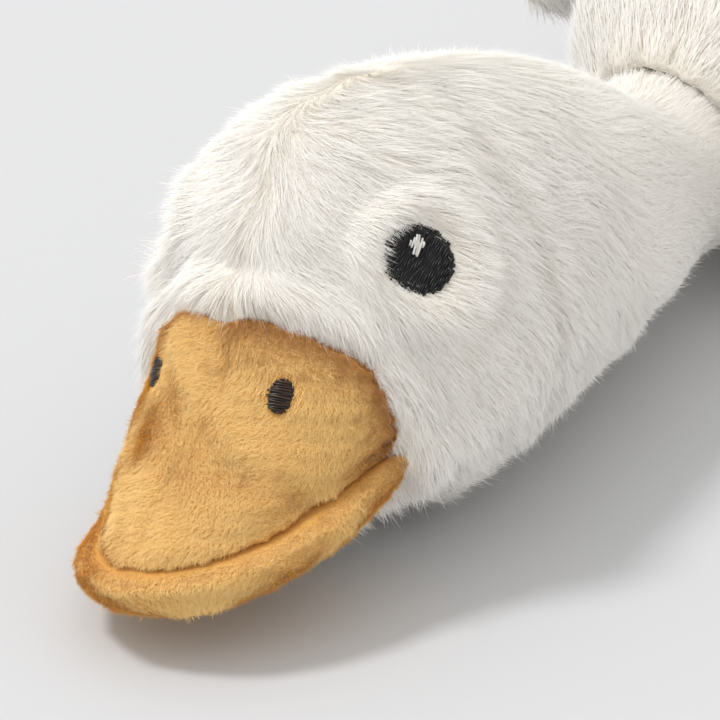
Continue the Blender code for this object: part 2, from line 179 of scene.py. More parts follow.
def store(mesh, name, values):
    values = np.asarray(values, dtype=float)
    kind, key = ("FLOAT_VECTOR", "vector") if values.ndim == 2 else ("FLOAT", "value")
    attribute = mesh.attributes.get(name) or mesh.attributes.new(name, kind, "POINT")
    attribute.data.foreach_set(key, values.ravel())


def stored(mesh, name, width=1):
    values = np.empty(len(mesh.vertices) * width)
    mesh.attributes[name].data.foreach_get("vector" if width == 3 else "value", values)
    return values.reshape(-1, width) if width == 3 else values


def drop(mesh, *names):
    for name in names:
        if name in mesh.attributes:
            mesh.attributes.remove(mesh.attributes[name])


def unit(vectors):
    return vectors / np.maximum(np.linalg.norm(vectors, axis=-1, keepdims=True), 1e-12)


def along_surface(vectors, facing):
    """The part of each vector that runs along the surface, at unit length."""
    return unit(vectors - facing * (vectors * facing).sum(axis=1, keepdims=True))


def ramp(values, start, end):
    share = np.clip((values - start) / (end - start), 0, 1)
    return share * share * (3 - 2 * share)


def turned(vectors, angle, axis):
    turn = np.array(Matrix.Rotation(angle, 3, axis))
    return vectors @ turn.T


def to_head(places):
    """Places in the head's own frame, from its middle, where the head doesn't lean."""
    return turned(places - HEAD_MIDDLE, -HEAD_LEAN, "Y")


def from_head(vectors):
    return turned(vectors, HEAD_LEAN, "Y")


def to_body(places):
    return turned(places - BODY_JOINT, -BODY_TURN, "Z")


def from_body(vectors):
    return turned(vectors, BODY_TURN, "Z")


def from_angles(azimuth, elevation):
    """The direction in which something lies that is seen from the beak's side at these angles."""
    return Vector(
        (
            math.sin(azimuth) * math.cos(elevation),
            -math.cos(azimuth) * math.cos(elevation),
            math.sin(elevation),
        )
    )


def photo_view():
    """The camera's right, up and backward directions, its place, and its focal length in pixels."""
    back = from_angles(CAMERA_AZIMUTH, CAMERA_ELEVATION)
    right = Vector((0, 0, 1)).cross(back).normalized()
    eye = Vector(HEAD_MIDDLE) + back * CAMERA_DISTANCE
    return right, back.cross(right), back, eye, CAMERA_LENS / CAMERA_SENSOR * PHOTO_SIZE


def pulled(places, pulls):
    """Places drawn towards the outline that the photograph shows."""
    right, up, back, eye, focus = photo_view()
    away = places - np.array(eye)
    pixel = -focus / (away @ np.array(back))
    seen = PHOTO_SIZE / 2 + columns(away @ np.array(right), -(away @ np.array(up))) * pixel[:, None]
    weights = np.stack([np.exp(-(((seen - spot) ** 2).sum(axis=1)) / PULL_REACH**2) for spot, _ in pulls])
    moves = np.array([move for _, move in pulls], dtype=float)
    moved = weights.T @ moves / (weights.sum(axis=0) + PULL_HOLD)[:, None] * PULL_GAIN / pixel[:, None]
    return places + moved @ np.array((right, -up, back))


def as_photographed(node, places):
    """Places on a CAD node, moved to where the photograph shows them."""
    if node.startswith(("head", "eye")):
        return pulled(places, HEAD_PULLS)
    if node.startswith(("beak", "nostril")):
        places = pulled(places, BEAK_PULLS)
    return pulled(places, LIP_PULLS) if node == "beak_lower" else places


def seen_at(mesh, pixels):
    """The places on a mesh that the photograph shows at these pixels."""
    right, up, back, eye, focus = photo_view()
    bm = bmesh.new()
    bm.from_mesh(mesh)
    search = BVHTree.FromBMesh(bm)
    bm.free()
    found = []
    for x, y in pixels:
        ray = right * (x - PHOTO_SIZE / 2) - up * (y - PHOTO_SIZE / 2) - back * focus
        place = search.ray_cast(eye, ray.normalized())[0]
        if place is not None:
            found.append(place)
    if not found:
        raise RuntimeError(f"{mesh.name} isn't seen at {pixels}")
    return np.array(found)


def distance_to_line(places, line):
    """How far each place is from a line through some points."""
    nearest = np.linalg.norm(places - line[0], axis=1)
    for start, end in zip(line, line[1:]):
        way = end - start
        share = np.clip((places - start) @ way / (way @ way), 0, 1)
        nearest = np.minimum(nearest, np.linalg.norm(places - start - share[:, None] * way, axis=1))
    return nearest


def columns(*parts):
    return np.stack(np.broadcast_arrays(*parts), axis=1).astype(float)


# Nodes


def add_node(tree, kind, inputs=None, **values):
    """A node with its properties set and its inputs set or linked, by name or number."""
    node = tree.nodes.new(kind)
    for name, value in values.items():
        setattr(node, name, value)
    for key, value in (inputs or {}).items():
        socket = node.inputs[key] if isinstance(key, int) else next(
            s for s in node.inputs if s.name == key and s.enabled
        )
        if isinstance(value, bpy.types.NodeSocket):
            tree.links.new(value, socket)
        else:
            socket.default_value = value
    return node


def out(node, name=None):
    """The output of that name that is in use, or else the first one."""
    for socket in node.outputs:
        if socket.enabled and (name is None or socket.name == name):
            return socket
    raise KeyError(f"{node.name} has no output {name}")


def tree_of(*values):
    """The tree in which the first socket among some values lies."""
    return next(value.id_data for value in values if isinstance(value, bpy.types.NodeSocket))


def calc(operation, *values):
    """Sums on the nodes' own numbers. At least one value is a socket."""
    node = add_node(tree_of(*values), "ShaderNodeMath", dict(enumerate(values)), operation=operation)
    return out(node)


def vector_calc(operation, *values, result="Vector"):
    inputs = dict(enumerate(values))
    return out(add_node(tree_of(*values), "ShaderNodeVectorMath", inputs, operation=operation), result)


def scaled(vector, factor):
    inputs = {0: vector, "Scale": factor}
    return out(add_node(tree_of(vector), "ShaderNodeVectorMath", inputs, operation="SCALE"))


plus = partial(calc, "ADD")
minus = partial(calc, "SUBTRACT")
times = partial(calc, "MULTIPLY")
divided = partial(calc, "DIVIDE")
times_plus = partial(calc, "MULTIPLY_ADD")
lesser = partial(calc, "MINIMUM")
greater = partial(calc, "MAXIMUM")
vector_plus = partial(vector_calc, "ADD")
vector_minus = partial(vector_calc, "SUBTRACT")


def socket_kind(value):
    """The kind of socket that holds a value. A text names the kind itself."""
    if isinstance(value, str):
        return "NodeSocket" + value
    if isinstance(value, tuple):
        return "NodeSocketVector" if len(value) == 3 else "NodeSocketColor"
    return "NodeSocketInt" if isinstance(value, int) else "NodeSocketFloat"


def new_tree(name, kind, inputs, output):
    """A node tree. Each input is given by its default or, where it has none, by its kind."""
    tree = bpy.data.node_groups.new(name, kind)
    for label, value in inputs.items():
        socket = tree.interface.new_socket(label, in_out="INPUT", socket_type=socket_kind(value))
        if not isinstance(value, str):
            socket.default_value = value
    label, value = output
    tree.interface.new_socket(label, in_out="OUTPUT", socket_type=socket_kind(value))
    given = tree.nodes.new("NodeGroupInput")
    result = tree.nodes.new("NodeGroupOutput")
    return tree, given.outputs, result.inputs[label]


def combined(x, y, z=0.0):
    return out(add_node(tree_of(x, y), "ShaderNodeCombineXYZ", {"X": x, "Y": y, "Z": z}))


def parts_of(vector):
    return add_node(tree_of(vector), "ShaderNodeSeparateXYZ", {0: vector}).outputs


def position(tree):
    return out(add_node(tree, "GeometryNodeInputPosition"))


def named(tree, name, kind="FLOAT"):
    return out(add_node(tree, "GeometryNodeInputNamedAttribute", {"Name": name}, data_type=kind))


def random_value(low, high, seed, **inputs):
    inputs = {"Min": low, "Max": high, "Seed": seed, **inputs}
    kind = "FLOAT_VECTOR" if isinstance(low, tuple) else "FLOAT"
    return out(add_node(tree_of(seed), "FunctionNodeRandomValue", inputs, data_type=kind))


def seeds_from(given):
    """A seed for each kind of draw in a tree."""
    return [plus(given["Seed"], float(number)) for number in range(1, 7)]


def marked(geometry, name, value, kind="FLOAT", domain="POINT"):
    """The geometry with a value written onto it under a name."""
    inputs = {"Geometry": geometry, "Name": name, "Value": value}
    store_node = "GeometryNodeStoreNamedAttribute"
    return out(add_node(tree_of(geometry), store_node, inputs, data_type=kind, domain=domain))


def placed_at(geometry, place):
    inputs = {"Geometry": geometry, "Position": place}
    return out(add_node(tree_of(geometry), "GeometryNodeSetPosition", inputs))


def flattened(way, facing):
    """A direction without what of it points along the facing."""
    return vector_minus(way, scaled(facing, vector_calc("DOT_PRODUCT", way, facing, result="Value")))


def turn_to(way, facing):
    """The turn that lays +Y along the way and +Z along the facing."""
    axes = {"primary_axis": "Y", "secondary_axis": "Z"}
    return out(add_node(tree_of(way), "FunctionNodeAxesToRotation", {0: way, 1: facing}, **axes))


def realized(geometry):
    return out(add_node(tree_of(geometry), "GeometryNodeRealizeInstances", {0: geometry}))


def coloured(geometry, colour):
    """The geometry in its material, with its shade and the way along each strand as its UV map."""
    tree = tree_of(geometry)
    uv = combined(named(tree, "shade"), named(tree, "along"))
    mapped = marked(geometry, BAKE_UV, uv, "FLOAT2", "CORNER")
    return out(add_node(tree, "GeometryNodeSetMaterial", {"Geometry": mapped, "Material": colour}))


def strand_tree():
    """One strand of pile: it starts at the origin, runs along +Y to 1, rises to 1 and narrows to a tip."""
    tree, given, result = new_tree(
        "Strand", "GeometryNodeTree", {"Bend": 0.0, "Cross lines": 3}, ("Strand", "Geometry")
    )
    grid = add_node(
        tree,
        "GeometryNodeMeshGrid",
        {"Size X": 1.0, "Size Y": 1.0, "Vertices X": 2, "Vertices Y": given["Cross lines"]},
    )
    place = parts_of(position(tree))
    along = plus(place["Y"], 0.5)
    square = times(along, along)
    x = times(place["X"], minus(1.0, square))
    x = times_plus(square, given["Bend"], x)
    z = times(along, times_plus(along, -0.7, 1.7))
    shaped = placed_at(marked(out(grid, "Mesh"), "along", along), combined(x, along, z))
    joined = add_node(tree, "GeometryNodeMergeByDistance", {"Geometry": shaped, "Distance": 0.0001})
    tree.links.new(out(joined), result)
    return tree


def pile_tree():
    """Pile over a cloth that carries how thick, how long, how steep, which way and how pale it grows."""
    tree, given, result = new_tree(
        "Pile",
        "GeometryNodeTree",
        {
            "Cloth": "Geometry",
            "Strands per m2": 1e6,
            "Width": 0.3 * MM,
            "Tuft size": 2.5 * MM,
            "Tuft pull": 0.8,
            "Unruly": 0.1,
            "Stray lift": 2.0,
            "Seed": 1,
            "Material": "Material",
        },
        ("Pile", "Geometry"),
    )
    seeds = seeds_from(given)
    thick = times(named(tree, "thick"), given["Strands per m2"])
    roots = add_node(
        tree,
        "GeometryNodeDistributePointsOnFaces",
        {"Mesh": given["Cloth"], "Density": thick, "Seed": given["Seed"]},
        distribute_method="RANDOM",
    )
    place = position(tree)
    facing = vector_calc("NORMALIZE", named(tree, "facing", "FLOAT_VECTOR"))
    length = named(tree, "length")

    tufts = add_node(
        tree,
        "ShaderNodeTexVoronoi",
        {"Vector": place, "Scale": divided(1.0, given["Tuft size"])},
        feature="F1",
        voronoi_dimensions="3D",
    )
    inward = vector_minus(out(tufts, "Position"), place)
    spread = lesser(out(tufts, "Distance"), 1.0)
    way = scaled(named(tree, "flow", "FLOAT_VECTOR"), length)
    way = vector_plus(way, scaled(inward, given["Tuft pull"]))
    drift = random_value((-1.0, -1.0, -1.0), (1.0, 1.0, 1.0), seeds[0])
    drift = scaled(drift, times(length, given["Unruly"]))
    way = flattened(vector_plus(way, drift), facing)

    reach = times(length, random_value(*STRAND_REACH, seeds[1]))
    stray = calc("POWER", random_value(0.0, 1.0, seeds[2]), STRAY_RARITY)
    stray = times_plus(stray, given["Stray lift"], 1.0)
    crown = times_plus(spread, -0.35, 1.15)
    rise = times(times(named(tree, "rise"), stray), crown)
    rise = times(rise, random_value(*STRAND_STEEPNESS, seeds[3]))
    width = times(given["Width"], random_value(*STRAND_WIDTH, seeds[4]))
    size = combined(width, reach, times(reach, rise))

    shade = times_plus(random_value(0.0, 1.0, seeds[5]), *STRAND_SHADE)
    shade = plus(shade, named(tree, "pale"))
    # Painted shade: strands further from the middle of their tuft, in the valleys between tufts, are darker
    shade = times_plus(spread, -0.18, shade)
    shade = times_plus(parts_of(out(tufts, "Color"))["X"], -0.14, shade)
    shade = lesser(greater(shade, 0.02), 0.98)

    strand = strand_tree()
    kinds = tree.nodes.new("GeometryNodeJoinGeometry")
    for bend, lines in STRAND_KINDS:
        one = tree.nodes.new("GeometryNodeGroup")
        one.node_tree = strand
        one.inputs["Bend"].default_value = bend
        one.inputs["Cross lines"].default_value = lines
        single = add_node(tree, "GeometryNodeGeometryToInstance", {0: out(one)})
        tree.links.new(out(single), kinds.inputs[0])
    planted = add_node(
        tree,
        "GeometryNodeInstanceOnPoints",
        {
            "Points": marked(out(roots, "Points"), "shade", shade),
            "Instance": out(kinds),
            "Pick Instance": True,
            "Rotation": turn_to(way, facing),
            "Scale": size,
        },
    )
    tree.links.new(coloured(realized(out(planted)), given["Material"]), result)
    return tree


def stitch_tree():
    """Rows of thread over an oval, each row cut into stitches that start at a different place."""
    tree, given, result = new_tree(
        "Stitches",
        "GeometryNodeTree",
        {
            "Ground": "Geometry",
            "Middle": (0.0, 0.0, 0.0),
            "Along": (1.0, 0.0, 0.0),
            "Across": (0.0, 1.0, 0.0),
            "Outward": (0.0, 0.0, 1.0),
            "Half length": 6 * MM,
            "Half width": 6 * MM,
            "Rows": 30,
            "Stitches in a row": 3,
            "Thread": 0.4 * MM,
            "Ragged": 0.3 * MM,
            "Ground share": 1.0,
            "Target share": RAY_SPREAD,
            "Seed": 1,
            "Material": "Material",
        },
        ("Stitches", "Geometry"),
    )
    rows = given["Rows"]
    count = given["Stitches in a row"]
    grid = add_node(
        tree,
        "GeometryNodeMeshGrid",
        {"Size X": 1.0, "Size Y": 1.0, "Vertices X": count, "Vertices Y": rows},
    )
    points = add_node(tree, "GeometryNodeMeshToPoints", {"Mesh": out(grid, "Mesh")})
    index = out(add_node(tree, "GeometryNodeInputIndex"))
    step = calc("FLOOR", divided(plus(index, 0.01), rows))
    row = minus(index, times(step, rows))
    seeds = seeds_from(given)
    offset = random_value(*STITCH_START, seeds[0], ID=row)

    def edge_of(number):
        """Where along its row, from 0 to 1, a stitch starts. The row's own two ends stay."""
        inner = lesser(number, minus(count, number))
        inner = lesser(inner, 1.0)
        return divided(times_plus(offset, inner, number), count)

    start = edge_of(step)
    end = edge_of(plus(step, 1.0))
    height = divided(plus(row, 0.5), rows)
    height = times_plus(height, 2.0, -1.0)
    chord = calc("SQRT", minus(1.0, times(height, height)))
    chord = times(chord, given["Half length"])
    ragged = random_value(-1.0, 1.0, seeds[1], ID=row)
    chord = times_plus(ragged, given["Ragged"], chord)
    slide = times(random_value(-1.0, 1.0, seeds[2], ID=row), given["Ragged"])
    middle = minus(plus(start, end), 1.0)
    x = times_plus(middle, chord, slide)
    y = times(height, given["Half width"])
    long = times(minus(end, start), times(chord, STITCH_OVERLAP))
    flat = vector_plus(scaled(given["Along"], x), scaled(given["Across"], y))
    lifted = scaled(given["Outward"], RAY_HEIGHT)
    above = vector_plus(vector_plus(given["Middle"], flat), lifted)
    down = scaled(given["Outward"], -1.0)

    def ground(share):
        """The ground, larger or smaller about its middle."""
        stays = scaled(given["Middle"], minus(1.0, share))
        size = combined(share, share, share)
        inputs = {"Geometry": given["Ground"], "Translation": stays, "Scale": size}
        return out(add_node(tree, "GeometryNodeTransform", inputs))

    target = ground(given["Target share"])
    hit = add_node(
        tree,
        "GeometryNodeRaycast",
        {"Target Geometry": target, "Source Position": above, "Ray Direction": down},
    )
    facing = out(hit, "Hit Normal")
    way = flattened(given["Along"], facing)
    sway = scaled(given["Across"], random_value(*STITCH_SWAY, seeds[3]))
    way = vector_plus(way, sway)

    rod = add_node(
        tree,
        "GeometryNodeMeshCylinder",
        {"Vertices": STITCH_SIDES, "Side Segments": 6, "Radius": 0.5, "Depth": 1.0},
        fill_type="NONE",
    )
    spot = parts_of(position(tree))
    square = times(spot["Z"], spot["Z"])
    arch = times_plus(square, *STITCH_ARCH)
    bowed = combined(spot["X"], spot["Z"], plus(spot["Y"], arch))
    stitch = marked(out(rod, "Mesh"), "along", plus(spot["Z"], 0.5))
    stitch = placed_at(stitch, bowed)

    placed = placed_at(out(points), out(hit, "Hit Position"))
    thin = times(given["Thread"], random_value(*STITCH_WIDTH, seeds[5]))
    laid = add_node(
        tree,
        "GeometryNodeInstanceOnPoints",
        {
            "Points": marked(placed, "shade", random_value(*STITCH_SHADE, seeds[4])),
            "Selection": out(hit, "Is Hit"),
            "Instance": stitch,
            "Rotation": turn_to(way, facing),
            "Scale": combined(thin, long, thin),
        },
    )
    together = tree.nodes.new("GeometryNodeJoinGeometry")
    tree.links.new(ground(given["Ground share"]), together.inputs[0])
    tree.links.new(realized(out(laid)), together.inputs[0])
    tree.links.new(coloured(out(together), given["Material"]), result)
    return tree


def tree_named(name, make):
    return bpy.data.node_groups.get(name) or make()


def run_tree(name, ground, tree, inputs):
    """What a tree makes of a mesh, as a plain object of its own."""
    obj = bpy.data.objects.new(name, ground)
    bpy.context.scene.collection.objects.link(obj)
    modifier = obj.modifiers.new(tree.name, "NODES")
    modifier.node_group = tree
    for item in tree.interface.items_tree:
        if item.item_type == "SOCKET" and item.in_out == "INPUT" and item.name in inputs:
            modifier[item.identifier] = inputs[item.name]
    obj.update_tag()
    graph = bpy.context.evaluated_depsgraph_get()
    made = bpy.data.meshes.new_from_object(obj.evaluated_get(graph), depsgraph=graph)
    obj.modifiers.remove(modifier)
    obj.data = made
    made.name = name
    if not made.polygons:
        raise RuntimeError(f"{name} came out empty")
    return obj


# Materials


def shade_group():
    """Colours one strand or thread: its own shade is U and the way along it is V."""
    tree, given, result = new_tree(
        "Strand colour",
        "ShaderNodeTree",
        {"Root": (0.5, 0.5, 0.5, 1.0), "Tip": (0.8, 0.8, 0.8, 1.0), "Deep": (0.3, 0.3, 0.3, 1.0)},
        ("Colour", "Color"),
    )
    place = parts_of(out(add_node(tree, "ShaderNodeUVMap", uv_map=BAKE_UV)))
    along = calc("POWER", place["Y"], 0.6)
    strand = mixed(along, given["Root"], given["Tip"])
    pale = add_node(
        tree,
        "ShaderNodeMapRange",
        {"Value": place["X"], "From Min": 0.0, "From Max": 0.75},
        interpolation_type="SMOOTHSTEP",
    )
    tree.links.new(mixed(out(pale), given["Deep"], strand), result)
    return tree


def mixed(share, first, second):
    colours = {"Factor": share, "A": first, "B": second}
    return out(add_node(tree_of(share), "ShaderNodeMix", colours, data_type="RGBA"), "Result")


def new_material(name, **values):
    """A material, its node tree and its shader, with some of the shader's own sockets set."""
    made = bpy.data.materials.new(name)
    made.use_nodes = True
    shader = made.node_tree.nodes["Principled BSDF"]
    for label, value in values.items():
        shader.inputs[label.replace("_", " ")].default_value = value
    return made, made.node_tree, shader


def strand_material(name, root, tip, deep, roughness, sheen, gloss):
    made, tree, shader = new_material(
        name,
        Roughness=roughness,
        Sheen_Weight=sheen,
        Sheen_Roughness=0.5,
        Specular_IOR_Level=gloss,
    )
    group = tree.nodes.new("ShaderNodeGroup")
    group.node_tree = tree_named("Strand colour", shade_group)
    for label, colour in (("Root", root), ("Tip", tip), ("Deep", deep)):
        group.inputs[label].default_value = (*colour, 1.0)
    tree.links.new(out(group), shader.inputs["Base Color"])
    return made


def cloth_material(name, dark, light):
    """The knitted ground under the pile, flecked where the pile is rooted."""
    made, tree, shader = new_material(name, Roughness=0.95, Specular_IOR_Level=0.1)
    where = add_node(tree, "ShaderNodeTexCoord").outputs["Object"]
    noise = add_node(
        tree,
        "ShaderNodeTexNoise",
        {"Vector": where, "Scale": 1 / CLOTH_GRAIN, "Detail": 4.0, "Roughness": 0.65},
    )
    colour = mixed(out(noise), (*dark, 1.0), (*light, 1.0))
    bump = add_node(
        tree, "ShaderNodeBump", {"Height": out(noise), "Distance": CLOTH_BUMP, "Strength": 0.8}
    )
    tree.links.new(colour, shader.inputs["Base Color"])
    tree.links.new(out(bump), shader.inputs["Normal"])
    return made


# Each pile's deep colour is what its darkest strands take, in random tone and in painted shade
STRAND_COLOURS = {
    "white pile": dict(
        root=(0.98, 0.945, 0.88), tip=(0.995, 0.98, 0.95), deep=(0.96, 0.89, 0.77),
        roughness=0.8, sheen=0.15, gloss=0.2
    ),
    "mustard pile": dict(
        root=(0.94, 0.60, 0.20), tip=(0.985, 0.73, 0.31), deep=(0.56, 0.28, 0.09),
        roughness=0.8, sheen=0.12, gloss=0.2
    ),
    "black thread": dict(
        root=(0.009, 0.009, 0.010), tip=(0.014, 0.014, 0.016), deep=(0.004, 0.004, 0.005),
        roughness=0.28, sheen=0.0, gloss=0.38
    ),
    "white thread": dict(
        root=(0.82, 0.81, 0.78), tip=(0.9, 0.89, 0.87), deep=(0.6, 0.58, 0.54),
        roughness=0.45, sheen=0.1, gloss=0.4
    ),
    "brown thread": dict(
        root=(0.035, 0.018, 0.011), tip=(0.05, 0.026, 0.016), deep=(0.012, 0.006, 0.004),
        roughness=0.3, sheen=0.0, gloss=0.4
    ),
}
CLOTH_COLOURS = {
    "white cloth": dict(dark=(0.86, 0.80, 0.70), light=(0.94, 0.91, 0.84)),
    "mustard cloth": dict(dark=(0.62, 0.30, 0.07), light=(0.80, 0.45, 0.13)),
}


def material(name):
    made = bpy.data.materials.get(name)
    if made:
        return made
    if name in CLOTH_COLOURS:
        return cloth_material(name, **CLOTH_COLOURS[name])
    return strand_material(name, **STRAND_COLOURS[name])


# Pieces


def even_mesh(node, voxel, rounds):
    """An even closed mesh over one CAD node, softened for some rounds."""
    obj = bpy.data.objects.new(node + "_even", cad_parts[node].data.copy())
    bpy.context.scene.collection.objects.link(obj)
    remesh = obj.modifiers.new("even", "REMESH")
    remesh.mode = "VOXEL"
    remesh.voxel_size = voxel
    smooth = obj.modifiers.new("soft", "SMOOTH")
    smooth.iterations = rounds
    graph = bpy.context.evaluated_depsgraph_get()
    mesh = bpy.data.meshes.new_from_object(obj.evaluated_get(graph), depsgraph=graph)
    bpy.data.objects.remove(obj, do_unlink=True)
    mesh.materials.clear()
    set_places(mesh, as_photographed(node, arrays_of(mesh)[0]))
    return mesh


def cad_copy(node):
    """A copy of a CAD node's mesh, drawn to where the photograph shows it."""
    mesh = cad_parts[node].data.copy()
    set_places(mesh, as_photographed(node, arrays_of(mesh)[0]))
    return mesh


def tree_over(nodes):
    """A search tree over the surfaces of some CAD nodes, as the photograph shows them."""
    bm = bmesh.new()
    for node in nodes:
        mesh = cad_copy(node)
        bm.from_mesh(mesh)
        bpy.data.meshes.remove(mesh)
    found = BVHTree.FromBMesh(bm)
    bm.free()
    return found


def nearest_on(nodes, places):
    """The nearest place on some CAD nodes to each place."""
    search = tree_over(nodes)
    return np.array([search.find_nearest(Vector(place))[0] for place in places])


def distance_to(nodes, places):
    return np.linalg.norm(nearest_on(nodes, places) - places, axis=1)


def within(nodes, places):
    """1 where a place lies inside some CAD nodes, near their surface."""
    search = tree_over(nodes)
    inside = []
    for place in places:
        on, facing, _, distance = search.find_nearest(Vector(place))
        inside.append(float(distance < INSIDE_REACH and (Vector(place) - on) @ facing < 0))
    return np.array(inside)


def middle_of(node):
    low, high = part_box(node)
    return (np.array(low) + np.array(high)) / 2


def declare(obj, node):
    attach(obj, "root")
    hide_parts(node)


def above_floor(mesh):
    places, _ = arrays_of(mesh)
    places[:, 2] = np.maximum(places[:, 2], FLOOR_CLEARANCE)
    set_places(mesh, places)


def cover(node, cloth, settings, colour, shares=None):
    """Grows a node's pile on its cloth, whole or in named shares, and adds the cloth in the node's place.
    """
    for part, share in (shares or {"": 1.0}).items():
        make_pile(f"{node}_pile{part}", cloth, settings, colour + " pile", node, share)
    above_floor(cloth)
    obj = bpy.data.objects.new(node + "_cloth", cloth)
    bpy.context.scene.collection.objects.link(obj)
    cloth.materials.clear()
    cloth.materials.append(material(colour + " cloth"))
    cloth.shade_smooth()
    declare(obj, node)


def make_pile(name, cloth, settings, colour, node, share):
    """Pile on a cloth. The share, from 0 to 1, thins it out at some of the cloth's points or at all."""
    ground = cloth.copy()
    store(ground, "thick", stored(ground, "thick") * share)
    obj = run_tree(
        name,
        ground,
        tree_named("Pile", pile_tree),
        {
            "Strands per m2": settings.per_mm2 * 1e6,
            "Width": settings.width,
            "Tuft size": settings.tuft,
            "Tuft pull": settings.pull,
            "Unruly": settings.unruly,
            "Stray lift": settings.stray,
            "Seed": settings.seed,
            "Material": material(colour),
        },
    )
    bpy.data.meshes.remove(ground)
    mesh = obj.data
    above_floor(mesh)
    _, own = arrays_of(mesh)
    facing = stored(mesh, "facing", 3)
    own *= np.sign((own * facing).sum(axis=1, keepdims=True) + TINY)
    soft = unit(facing + own * settings.crispness)
    mesh.shade_smooth()
    mesh.normals_split_custom_set_from_vertices([tuple(n) for n in soft])
    drop(mesh, "thick", "length", "rise", "flow", "facing", "pale", "shade", "along")
    declare(obj, node)


def grow_marks(mesh, places, facing, flow, length, rise, thick, pale):
    """Writes what the pile needs onto its cloth."""
    store(mesh, "facing", facing)
    store(mesh, "flow", along_surface(flow, facing))
    ones = np.ones(len(places))
    store(mesh, "length", length * ones)
    store(mesh, "rise", rise * ones)
    store(mesh, "thick", np.clip(thick, 0, 1) * ones)
    store(mesh, "pale", np.clip(pale, 0, 1) * ones)


def sunk(mesh, places, facing, depth):
    """Moves a cloth in from the CAD surface, and gives its new places and facings."""
    set_places(mesh, places - facing * depth[:, None])
    return arrays_of(mesh)


def underside(facing):
    """1 on top and at the sides, and less where a piece lies on the floor."""
    return 1 - 0.75 * ramp(-facing[:, 2], 0.55, 0.95)


def sewn_in(near):
    """0 where a cloth is so near to its neighbour that it bears no pile, and 1 further off."""
    return ramp(near, SEAM_REACH, SEAM_REACH + SEAM_FADE)


def half(across):
    """The share of a pile that grows on the positive side, where it is made in two halves."""
    return ramp(across, -HALVES_OVERLAP, HALVES_OVERLAP)


def bell(values, reach, centre=0.0):
    """1 at the centre, falling off within the reach."""
    return np.exp(-(((values - centre) / reach) ** 2))


def fading(values, reach):
    """1 at zero and less further off."""
    return np.exp(-values / reach)


def waves(places, size, amount, seed):
    """A slow wander of the way the pile lies, the same at each run."""
    rng = np.random.default_rng(seed)
    total = np.zeros((len(places), 3))
    for _ in range(6):
        direction = unit(rng.normal(size=3)) / size * rng.uniform(0.6, 1.6)
        phase = rng.uniform(0, 2 * math.pi)
        total += np.sin(2 * math.pi * (places @ direction) + phase)[:, None] * rng.normal(size=3)
    return total * amount / 2.5


def eye_cover(places, flow, node, length):
    """Pile round an eye: none under it, short where it would lie over it."""
    away = places - middle_of(node)
    distance = np.linalg.norm(away, axis=1)
    upstream = ramp(-(unit(away) * flow).sum(axis=1), -0.2, 0.5)
    over = np.clip(0.9 * (distance - EYE_EDGE) + 1.3 * MM, 1.3 * MM, length)
    past = np.clip(2.2 * (distance - EYE_EDGE) + 3.2 * MM, 3.0 * MM, length)
    shorter = over * upstream + past * (1 - upstream)
    thick = ramp(distance, EYE_EDGE - 1.2 * MM, EYE_EDGE - 0.2 * MM)
    return shorter, thick, distance


def off_head_seam(mesh, own, neck):
    """How far each place lies to the side of the head's centre seam, which runs straight over the neck."""
    seam = to_head(seen_at(mesh, HEAD_SEAM))
    turn = np.arctan2(seam[:, 2], -seam[:, 1])
    order = np.argsort(turn)
    seam_x = np.interp(np.arctan2(own[:, 2], -own[:, 1]), turn[order], seam[order, 0])
    return own[:, 0] - seam_x * (1 - neck)


def head_flow(own, own_facing, off_seam, neck, tufty):
    """The way the head's pile lies: away from the seam, down over the beak and back along the neck."""
    _, y, z = own.T
    low = ramp(-z, -28 * MM, 5 * MM)
    front = ramp(-y, 2 * MM, 28 * MM)
    side = np.tanh(off_seam / (2.5 * MM))
    flow = columns(
        0.8 * side * (1 - 0.75 * neck),
        0.5 + 0.4 * neck - 0.4 * front,
        -0.28 - 0.9 * low * (1 - neck) - 0.45 * front,
    )
    crown = bell(off_seam, 7 * MM) * (1 - ramp(y, 10 * MM, 40 * MM))
    flow -= crown[:, None] * np.array((0.0, 0.8, 0.3))
    flow += waves(own, 26 * MM, 0.18, 5) + waves(own, 9 * MM, 0.16, 7) * tufty[:, None]
    return from_head(along_surface(flow, own_facing))


